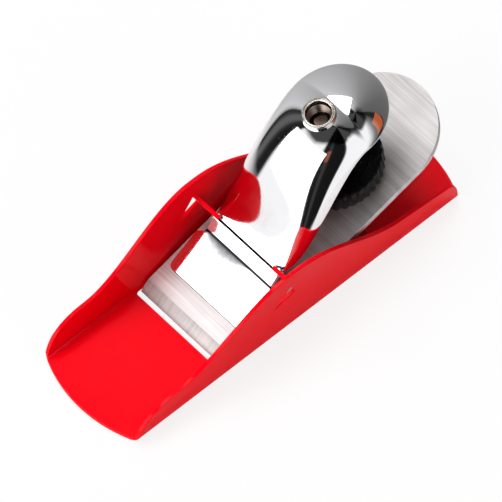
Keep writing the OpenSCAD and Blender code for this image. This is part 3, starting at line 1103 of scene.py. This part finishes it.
@dataclass
class LeverCap:
    """The lever cap: a flat front plate, a raised strip and groove, a neck and a round hood.

    Places along and heights are in the iron's axes. The guide points of the spine and the rim
    are offsets from the lip, behind the groove.
    """

    axes: IronAxes
    screw: ScrewAxis
    sheet: float = 1.0
    gap: float = 0.1
    front: float = 6.9
    edge_drop: float = 0.3
    corner: float = 1.2
    plate_half: float = 10.66
    bend: Point2 = (16.9, 3.7)
    bend_fillet: float = 0.55
    neck_in: float = 1.6
    ridge: Point2 = (19.8, 5.5)
    ridge_half: float = 9.16
    groove: float = 0.4
    groove_depth: float = 0.5
    groove_ease: float = 0.06
    groove_back: Point2 = (0.4, 0.13)
    lip: Point2 = (0.55, 0.2)
    spine_guide: Point2 = (7.2, 4.8)
    spine_lead: float = 15.2
    rim_guide: Point2 = (3.65, -5.0)
    rim_lead: float = 7.1
    hood_half: float = 10.3
    flank_guides: Point2 = (1.2, -0.55)
    crown: Point2 = (49.1, 22.9)
    side_drop: float = 4.5
    rear: float = 11.1
    rear_rise: float = 2.05
    bore: float = 3.25
    bore_from: float = 15.0
    across_steps: int = 48
    neck_steps: int = 60
    rear_steps: int = 48

    def __post_init__(self) -> None:
        """Works out the hood's guide curves."""
        lip = Vector(self.ridge) + Vector(self.lip)
        crown = Vector(self.crown)
        level = Vector((math.cos(self.axes.angle), -math.sin(self.axes.angle)))
        upright = Vector((math.sin(self.axes.angle), math.cos(self.axes.angle)))
        self.rim_side = crown - self.side_drop * upright
        self.rim_rear = self.rim_side + self.rear * level + self.rear_rise * upright
        lead = self.rim_lead / self.rear * (self.rim_rear - self.rim_side)
        self.spine = [lip, lip + Vector(self.spine_guide), crown - self.spine_lead * level, crown]
        self.rim = [lip, lip + Vector(self.rim_guide), self.rim_side - lead, self.rim_side]
        guides = [self.hood_half + extra for extra in self.flank_guides]
        self.flank = [Vector((w, 0.0)) for w in (self.ridge_half, *guides, self.hood_half)]

    def neck_point(self, share: float, turn: float) -> Vector:
        """Finds a point of the neck and the hood's front.

        Args:
            share: How far up the spine, from 0 at the lip to 1 at the crown.
            turn: Angle from the spine to the rim, signed by side.

        Returns:
            The point, in the iron's axes.
        """
        top, low = bezier(self.spine, share), bezier(self.rim, share)
        mid = low.lerp(top, math.cos(turn))
        return Vector((mid.x, bezier(self.flank, share).x * math.sin(turn), mid.y))

    def rear_point(self, fan: float, turn: float) -> Vector:
        """Finds a point of the hood's rear.

        Args:
            fan: Angle round the crown, a right angle at either side and 0 at the rear.
            turn: Angle from the crown to the rim.

        Returns:
            The point, in the iron's axes.
        """
        crown, side = Vector(self.crown), self.rim_side
        low = side + (self.rim_rear - side) * math.cos(fan)
        s = side.x + (low.x - side.x) * math.sin(turn) + (crown.x - side.x) * math.cos(turn)
        h = low.y + (crown.y - low.y) * math.cos(turn)
        return Vector((s, self.hood_half * math.sin(fan) * math.sin(turn), h))

    def plate_stations(self) -> list[tuple[float, float, float]]:
        """Draws the front plate, the raised strip and the groove, row by row.

        Returns:
            Place along, height and half width of each row.
        """
        top = self.gap + self.sheet
        bend, ridge = Vector(self.bend), Vector(self.ridge)
        tilt = Vector((1.0, (bend.y - top) / (bend.x - self.front)))
        slope = Vector((1.0, (ridge.y - bend.y) / (ridge.x - bend.x)))
        edge = Vector((self.front, top))
        rows = [(self.front, top - self.edge_drop, self.plate_half - self.corner)]
        for turn in [math.radians(step) for step in range(15, 91, 15)]:
            p = edge + tilt * self.corner * (1 - math.cos(turn))
            rows.append((p.x, p.y, self.plate_half - self.corner * (1 - math.sin(turn))))
        before, after = bend - self.bend_fillet * tilt, bend + self.bend_fillet * slope
        neck, half_gap = bend - self.neck_in * tilt, self.groove / 2
        strip_end = ridge - half_gap * slope
        path = (curve([edge + self.corner * tilt, neck], 6, 1) + curve([neck, before], 6, 1)
                + curve([before, bend, after], 5, 1) + curve([after, strip_end], 5, 1))
        ease, floor = self.groove_ease, -self.groove_depth
        path += [strip_end + Vector((ease / 2, -ease))]
        path += [ridge + Vector(offset) for offset in (
            (-ease, floor), (ease, floor), (half_gap - ease / 2, 0.0), (half_gap, ease),
            self.groove_back)]
        step = self.plate_half - self.ridge_half
        return rows + [(p.x, p.y, self.plate_half - step * smooth((p.x - neck.x) / self.neck_in))
                       for p in path]

    def build(self, finishes: Finishes) -> None:
        """Builds the lever cap's sheet and dresses it.

        Args:
            finishes: The plane's finishes.
        """
        plate = self.plate_stations()
        rows = len(plate) + self.neck_steps
        bm = bmesh.new()
        bmesh.ops.create_grid(bm, x_segments=rows, y_segments=self.across_steps, size=1.0)
        for vert in bm.verts:
            row = round((vert.co.x + 1) / 2 * rows)
            turn = vert.co.y * RIGHT
            if row < len(plate):
                s, h, half = plate[row]
                vert.co = (s, half * math.sin(turn), h)
            else:
                vert.co = self.neck_point((row - len(plate)) / self.neck_steps, turn)
        fan = bmesh.ops.create_grid(bm, x_segments=self.rear_steps,
                                    y_segments=self.across_steps // 2, size=1.0)
        for vert in fan["verts"]:
            vert.co = self.rear_point(vert.co.x * RIGHT, (vert.co.y + 1) / 2 * RIGHT)
        bmesh.ops.remove_doubles(bm, verts=bm.verts, dist=1e-3)
        bmesh.ops.dissolve_degenerate(bm, dist=1e-4, edges=bm.edges[:])
        bmesh.ops.recalc_face_normals(bm, faces=bm.faces)
        middle = Vector(((self.front + self.bend[0]) / 2, 0.0))
        flat = min(bm.faces, key=lambda f: (f.calc_center_median().xy - middle).length)
        if flat.normal.z < 0:
            bmesh.ops.reverse_faces(bm, faces=bm.faces)
        self.open_bore(bm)
        bmesh.ops.transform(bm, matrix=self.axes.matrix(), verts=bm.verts)
        finish_piece(bm, "lever_cap_sheet", "cap", [finishes.plate],
                     ("lever_cap",), Edging(0.16, 2, 60, self.sheet, 1))

    def open_bore(self, bm: BMesh) -> None:
        """Opens the skin where the bush passes through, under the bush's own wall.

        Args:
            bm: The skin, in the iron's axes.
        """
        back = (self.axes.matrix().inverted() @ self.screw.matrix()).inverted()
        inside = [f for f in bm.faces
                  if all((back @ v.co).xy.length < self.bore for v in f.verts)
                  and (back @ f.calc_center_median()).z > self.bore_from]
        bmesh.ops.delete(bm, geom=inside, context="FACES")


@dataclass
class Bush:
    """The plated bush in the hood: a ring with a grooved rim, its bore lined with a dark sheet of
    painted shade, and its inside thread.
    """

    screw: ScrewAxis
    top: float = 24.6
    bottom: float = 17.8
    radius: float = 3.4
    shoulder: float = 4.4
    shoulder_top: float = 21.7
    bore: float = 2.42
    rim_r: float = 3.1
    lip_r: float = 2.86
    rim_groove: float = 0.22
    groove_slope: float = 0.06
    lip_drop: float = 0.04
    mouth_flare: float = 0.22
    mouth_depth: float = 0.5
    liner_fit: float = 0.02

    def build(self, finishes: Finishes) -> None:
        """Builds the ring, the thread and the bore, and dresses them.

        Args:
            finishes: The plane's finishes.
        """
        top, bottom, r, bore = self.top, self.bottom, self.radius, self.bore
        low, lip = top - self.rim_groove, top - self.lip_drop
        ring = turned(rounded([
            (bore, bottom, 0.0), (self.shoulder, bottom, 0.3),
            (self.shoulder, self.shoulder_top, 0.3), (r, self.shoulder_top, 0.1), (r, top, 0.3),
            (self.rim_r, top, 0.08), (self.rim_r - self.groove_slope, low, 0.05),
            (self.lip_r + self.groove_slope, low, 0.05), (self.lip_r, lip, 0.06),
            (bore + self.mouth_flare, lip, 0.08), (bore, top - self.mouth_depth, 0.08),
            (bore, bottom, 0.0)], 5), 96)
        thread = Thread(radius=bore, tooth=-0.26, base=0.62, start=bottom + 0.5,
                        stop=top - 0.75, steps=48).mesh()
        # A dark brass sheet lines the ring's own bore. It is brass, darkened as painted shade in
        # the bore.
        inner = bore - self.liner_fit
        shade_liner = turned([(inner, bottom + 0.3), (inner, top - 0.62)], 72)
        bmesh.ops.reverse_faces(shade_liner, faces=shade_liner.faces)
        finish_piece(self.screw.placed(ring), "bush_ring", "cap",
                     [finishes.nickel], ("cap_bush",), crease=60.0)
        finish_piece(self.screw.placed(thread), "bush_thread", "cap",
                     [finishes.flight], crease=35.0)
        finish_piece(self.screw.placed(shade_liner), "bush_bore_painted_shade", "cap",
                     [finishes.shaded_brass])


@dataclass
class ClampScrew:
    """The clamp screw: foot, collar and threaded shank."""

    screw: ScrewAxis
    foot: float = 0.15
    foot_r: float = 0.84
    foot_l: float = 0.5
    neck_r: float = 1.68
    collar_bottom: float = 1.35
    collar_top: float = 2.45
    collar_r: float = 4.2
    radius: float = 2.1
    core_r: float = 1.82
    thread_start: float = 7.9
    runout: float = 0.1
    chamfer: float = 0.4
    top: float = 21.6

    def build(self, finishes: Finishes) -> None:
        """Builds the shank and the thread, and dresses them.

        Args:
            finishes: The plane's finishes.
        """
        r, core, neck = self.radius, self.core_r, self.neck_r
        low, high = self.thread_start - self.runout, self.thread_start + self.runout
        shank = turned(rounded([
            (0.0, self.foot, 0.0), (self.foot_r, self.foot, 0.2),
            (neck, self.foot + self.foot_l, 0.1), (neck, self.collar_bottom, 0.05),
            (self.collar_r, self.collar_bottom, 0.2), (self.collar_r, self.collar_top, 0.2),
            (r, self.collar_top, 0.05), (r, low, 0.1), (core, high, 0.1),
            (core, self.top - self.chamfer, 0.1), (core - self.chamfer, self.top, 0.1),
            (0.0, self.top, 0.0)], 3), 64)
        thread = Thread(radius=core, tooth=0.26, base=0.6, start=high, stop=self.top - 0.5).mesh()
        # The shank and thread take the near-black steel that paints shade at the foot of the bore.
        finish_piece(self.screw.placed(shank), "screw_shank", "screw",
                     [finishes.screw], ("clamp_screw",), crease=50.0)
        finish_piece(self.screw.placed(thread), "screw_thread", "screw",
                     [finishes.screw], crease=35.0)


@dataclass
class ThumbWheel:
    """The black thumb wheel, with grip ribs round its rim and a dished face."""

    screw: ScrewAxis
    bottom: float = 2.5
    thickness: float = 4.8
    radius: float = 9.95
    bore: float = 2.15
    hub_r: float = 4.3
    rim_w: float = 2.2
    dish: float = 0.8
    recess: float = 0.5
    recess_slope: float = 0.3
    ribs: int = 36
    steps_per_rib: int = 8
    rib_depth: float = 0.24
    rib_reach: float = 1.0
    rib_ease: float = 0.8
    valley_power: float = 0.8
    squeeze: float = 0.03

    def build(self, finishes: Finishes) -> None:
        """Builds the wheel and dresses it.

        Args:
            finishes: The plane's finishes.
        """
        low, high, r, hub = self.bottom, self.bottom + self.thickness, self.radius, self.hub_r
        rim, floor, under = r - self.rim_w, high - self.dish, low + self.recess
        bm = turned(rounded([
            (self.bore, low, 0.0), (hub, low, 0.1), (hub + self.recess_slope, under, 0.15),
            (rim - self.recess_slope, under, 0.15), (rim, low, 0.15), (r, low, 0.6),
            (r, high, 0.6), (rim, high, 0.25), (rim - self.dish, floor, 0.3), (hub, floor, 0.2),
            (hub, high, 0.25), (self.bore, high, 0.0), (self.bore, low, 0.0)], 4),
            self.ribs * self.steps_per_rib)
        for vert in bm.verts:
            far = vert.co.xy.length
            turn = math.atan2(vert.co.y, vert.co.x) * self.ribs
            valley = max(0.0, 0.5 - 0.5 * math.cos(turn)) ** self.valley_power
            valley *= smooth((far - r + self.rib_reach) / self.rib_ease)
            vert.co.xy *= 1 - self.rib_depth * valley / far
            vert.co.z += ((low + high) / 2 - vert.co.z) * self.squeeze * valley
        finish_piece(self.screw.placed(bm), "thumb_wheel_ribbed", "wheel",
                     [finishes.black], ("thumb_wheel",), crease=50.0)


@dataclass
class HiddenBed:
    """The folded bed and its rivets, which keep the frame's own shapes."""

    nodes: dict[str, Piece]

    def dress(self, finishes: Finishes) -> None:
        """Dresses the bed and the rivets.

        Args:
            finishes: The plane's finishes.
        """
        # The bed takes the darker copy of the red enamel, as painted shade.
        for name, material in (("blade_bed", finishes.shaded_enamel),
                               ("bed_rivets", finishes.rivet)):
            mesh = self.nodes[name].data
            mesh.materials.clear()
            mesh.materials.append(material)
            log.info("%s: dressed on the frame's own shape", name)


# ------------------------------------------------
# Studio


def toward(azimuth: float, elevation: float) -> Vector:
    """Finds a direction.

    Args:
        azimuth: Its angle from X towards Y, in degrees.
        elevation: Its angle above the floor, in degrees.

    Returns:
        The direction, of length 1.
    """
    az, el = math.radians(azimuth), math.radians(elevation)
    return Vector((math.cos(az) * math.cos(el), math.sin(az) * math.cos(el), math.sin(el)))


def facing(out: Vector, roll: float) -> Matrix:
    """Finds how a lamp or a camera is turned.

    Args:
        out: The direction that it stands in as seen from its aim.
        roll: Its own turn about that direction, in degrees.

    Returns:
        The rotation.
    """
    turn = out.to_track_quat("Z", "Y").to_matrix().to_4x4()
    return turn @ Matrix.Rotation(math.radians(roll), 4, "Z")


@dataclass(frozen=True)
class SoftBox:
    """One soft lamp, by the direction that it stands in as seen from the plane."""

    name: str
    azimuth: float
    elevation: float
    size: tuple[float, float]
    brightness: float
    colour: Colour = (1.0, 1.0, 1.0)
    spin: float = 0.0
    mirrored: bool = True
    distance: float = 1.2

    def place(self, aim: Vector) -> None:
        """Places the lamp.

        Args:
            aim: The point that it is turned to.
        """
        out = toward(self.azimuth, self.elevation)
        lamp = bpy.data.lights.new(self.name, "AREA")
        lamp.shape = "RECTANGLE"
        lamp.size, lamp.size_y = self.size
        lamp.color = self.colour
        lamp.energy = self.brightness * math.pi * self.size[0] * self.size[1]
        holder = bpy.data.objects.new(self.name, lamp)
        holder.location = aim + out * self.distance
        holder.rotation_euler = facing(out, self.spin).to_euler()
        holder.visible_glossy = self.mirrored
        bpy.context.scene.collection.objects.link(holder)


@dataclass
class Studio:
    """A pale floor, a grey studio round the plane, soft lamps and the camera.

    The walls' and the sheet's stops are an angle and a tone. The lids' are an angle and the
    height in degrees at which the walls turn dark.
    """

    aim: Vector = field(default_factory=lambda: Vector((-0.00153, -0.00135, 0.012)))
    view: tuple[float, float] = (-131.115, 56.228)
    roll: float = -1.18
    distance: float = 1.7344
    lens: float = 649.35
    lamp_aim: float = 0.02
    floor_half: float = 4.0
    floor_gap: float = 0.00005
    card_grey: float = 0.88
    card_r: float = 0.075
    card_lift: float = 0.84
    mirror_r: float = 0.045
    mirror_gain: float = 1.35
    fade_end: float = 1.8
    lid_edge: float = 12.0
    lid_tone: float = 0.06
    lamps: tuple[SoftBox, ...] = (
        SoftBox("toe_softbox", 172.5, 20.0, (1.65, 1.30), 2.2),
        SoftBox("side_softbox", -94.0, 9.0, (1.00, 0.50), 2.7, mirrored=False),
        SoftBox("top_softbox", 106.0, 70.0, (0.36, 0.50), 4.2, spin=18.0),
        SoftBox("heel_fill", 46.0, 62.0, (0.60, 0.60), 7.0, mirrored=False),
        SoftBox("warm_strip", -50.0, 22.0, (0.34, 1.40), 0.50, (1.0, 0.20, 0.04)),
        SoftBox("warm_card", -141.0, 36.0, (0.12, 0.36), 0.28, (1.0, 0.22, 0.06)),
    )
    walls: tuple[Point2, ...] = (
        (-180, 1.00), (-158, 1.00), (-153, 0.01), (-146, 0.01), (-141, 0.05), (-135, 0.01),
        (-113, 0.008), (-110, 0.30), (-88, 0.30), (-74, 0.28), (-66, 0.20), (-60, 0.02),
        (-42, 0.02), (-38, 0.12), (-15, 0.14), (10, 0.20), (35, 0.28), (60, 0.42), (85, 0.55),
        (97, 0.66), (101, 0.50), (104, 0.02), (108, 0.04), (112, 0.12), (118, 0.12),
        (123, 0.03), (128, 0.012), (135, 0.012), (139, 1.00))
    lids: tuple[Point2, ...] = (
        (-180, 49), (-150, 55), (-112, 50), (-100, 60), (-60, 66), (-40, 78), (0, 82), (98, 84),
        (106, 60), (125, 52), (140, 48))
    sheet: tuple[Point2, ...] = (
        (-180, 0.0), (-112, 0.0), (-110, 1.0), (-80, 1.0), (-66, 0.25), (-50, 0.0))

    def build(self) -> None:
        """Builds the studio."""
        self.build_floor()
        self.build_world()
        for lamp in self.lamps:
            lamp.place(Vector((0.0, 0.0, self.lamp_aim)))
        self.build_camera()
        bpy.context.scene.view_settings.view_transform = "Standard"

    def build_floor(self) -> None:
        """Builds the pale floor, which shows near white and keeps the plane's soft shadow."""
        bm = bmesh.new()
        bmesh.ops.create_grid(bm, x_segments=1, y_segments=1, size=self.floor_half)
        bmesh.ops.translate(bm, verts=bm.verts, vec=(0, 0, -self.floor_gap))
        material = bpy.data.materials.new("floor_card")
        w = self.emptied(material)
        grey = (self.card_grey,) * 3
        card = w.add("BsdfDiffuse", {"Color": (*grey, 1.0)}).outputs[0]
        glow = w.add("Emission").outputs[0]
        gap = w.add("BsdfTransparent").outputs[0]
        rays = w.add("LightPath").outputs
        place = w.add("TexCoord").outputs["Object"]
        reach = w.add("VectorMath", (place,), operation="LENGTH").outputs["Value"]
        fade, mirror_fade = (w.remap(reach, (start, self.fade_end * start), kind="SMOOTHSTEP")
                             for start in (self.card_r, self.mirror_r))
        beyond = w.mix(rays["Is Glossy Ray"], w.mix(fade, card, gap),
                       w.mix(mirror_fade, card, gap))
        shown = w.mix(w.math("MAXIMUM", fade, self.card_lift), card, glow)
        w.add("OutputMaterial", {"Surface": w.mix(rays["Is Camera Ray"], beyond, shown)})
        floor = object_of(bm, "studio_floor", [material])

    @staticmethod
    def emptied(owner: Material | bpy.types.World) -> NodeWriter:
        """Empties the shader of a material or of the world.

        Args:
            owner: The material or the world.

        Returns:
            The writer of its tree.
        """
        owner.use_nodes = True
        owner.node_tree.nodes.clear()
        return NodeWriter(owner.node_tree)

    def build_world(self) -> None:
        """Builds the studio's walls: grey behind the heel, dark at two corners and overhead."""
        world = bpy.data.worlds.new("studio")
        bpy.context.scene.world = world
        w = self.emptied(world)
        parts = w.add("SeparateXYZ", (w.add("TexCoord").outputs["Generated"],)).outputs
        turn = w.math("ARCTAN2", parts["Y"], parts["X"])
        place = w.math("ADD", w.math("DIVIDE", turn, 2 * math.pi), 0.5)
        walls = self.ramp(w, place, self.walls)
        lids = self.ramp(w, place, tuple((angle, height / 90) for angle, height in self.lids))
        sheet = self.ramp(w, place, self.sheet)
        height = w.math("DIVIDE", w.math("ARCSINE", parts["Z"]), RIGHT)
        over = w.math("MULTIPLY", w.math("SUBTRACT", height, lids), self.lid_edge)
        shade = w.remap(over, after=(1.0, self.lid_tone))
        tone = w.math("MULTIPLY", walls, shade)
        sheen = w.math("MULTIPLY", w.math("MAXIMUM", walls, sheet), shade)
        rays = w.add("LightPath").outputs
        glossy = w.math("MULTIPLY", rays["Is Glossy Ray"], self.mirror_gain)
        seen = w.math("MAXIMUM", tone, w.math("MULTIPLY", sheen, glossy))
        seen = w.math("MAXIMUM", seen, rays["Is Camera Ray"])
        w.add("OutputWorld", {"Surface": w.add("Background", {"Strength": seen}).outputs[0]})

    @staticmethod
    def ramp(w: NodeWriter, place: Socket, stops: tuple[Point2, ...]) -> Socket:
        """Adds a ramp of grey tones round the studio.

        Args:
            w: The writer of the tree.
            place: The place along the ramp, from 0 to 1.
            stops: Angle and tone of each stop.

        Returns:
            The tone.
        """
        node = w.add("ValToRGB", (place,))
        elements = node.color_ramp.elements
        while len(elements) > 1:
            elements.remove(elements[-1])
        for i, (angle, tone) in enumerate(stops):
            share = (angle + 180) / 360
            element = elements.new(share) if i else elements[0]
            element.position = share
            element.color = (tone, tone, tone, 1.0)
        return node.outputs["Color"]

    def build_camera(self) -> None:
        """Builds the camera and makes it the scene's."""
        back = toward(*self.view)
        data = bpy.data.cameras.new("camera")
        data.lens = self.lens
        data.sensor_width = 36.0
        data.clip_start, data.clip_end = 0.1, 20.0
        camera = bpy.data.objects.new("camera", data)
        place = Matrix.Translation(self.aim + back * self.distance)
        camera.matrix_world = place @ facing(back, self.roll)
        bpy.context.scene.collection.objects.link(camera)
        bpy.context.scene.camera = camera


def main(frame: dict) -> None:
    """Builds the studio and the plane.

    Args:
        frame: The fixed frame.
    """
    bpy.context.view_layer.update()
    Studio().build()
    finishes = Finishes()
    iron, screw = IronAxes(), ScrewAxis()
    PressedBody().build(finishes)
    Iron(iron).build(finishes)
    LeverCap(iron, screw).build(finishes)
    Bush(screw).build(finishes)
    ClampScrew(screw).build(finishes)
    ThumbWheel(screw).build(finishes)
    HiddenBed(frame["nodes"]).dress(finishes)
    bpy.context.view_layer.update()


if __name__ == "__main__":
    logging.basicConfig(level=logging.INFO, format="%(name)s: %(message)s")
    main(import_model())
